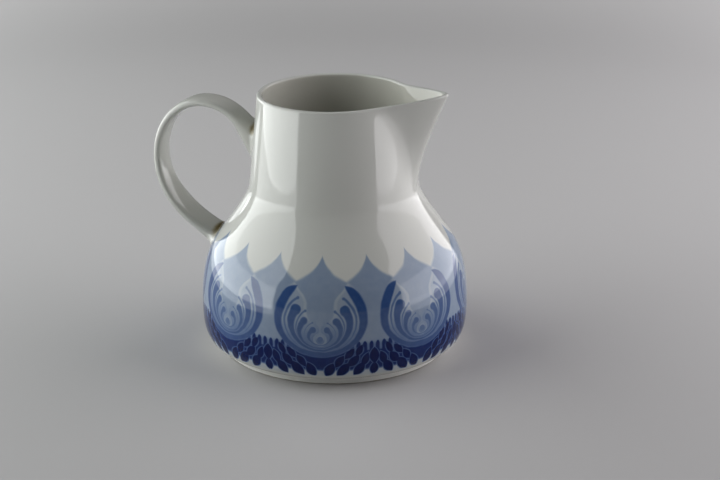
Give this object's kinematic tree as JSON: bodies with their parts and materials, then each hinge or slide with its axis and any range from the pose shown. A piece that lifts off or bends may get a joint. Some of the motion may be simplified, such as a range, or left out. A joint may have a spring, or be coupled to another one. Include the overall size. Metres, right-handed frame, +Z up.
{
  "type": "porcelain cream jug",
  "caption": "Small round-bellied porcelain cream jug with a beaked pouring spout, a strap handle and a low foot ring, painted with a blue petal and leaf border.",
  "frame": {"origin": "on the surface it stands on, under the middle of its bounding box; the pot's own axis is 9.6 mm towards the spout from there", "axes": "+Z up along the pot's axis, +X towards the spout, handle towards -X"},
  "size_m": [0.1121, 0.0928, 0.093],
  "materials": {
    "glazed_porcelain": "clear gloss glaze over white porcelain with underglaze cobalt blue decoration",
    "bare_porcelain": "matt, unglazed standing edge"
  },
  "bodies": {
    "root": {"body": "glazed_porcelain", "spout": "glazed_porcelain", "handle": "glazed_porcelain", "handle_upper_joint": "glazed_porcelain", "handle_lower_joint": "glazed_porcelain", "foot_ring": "bare_porcelain"}
  },
  "joints": []
}
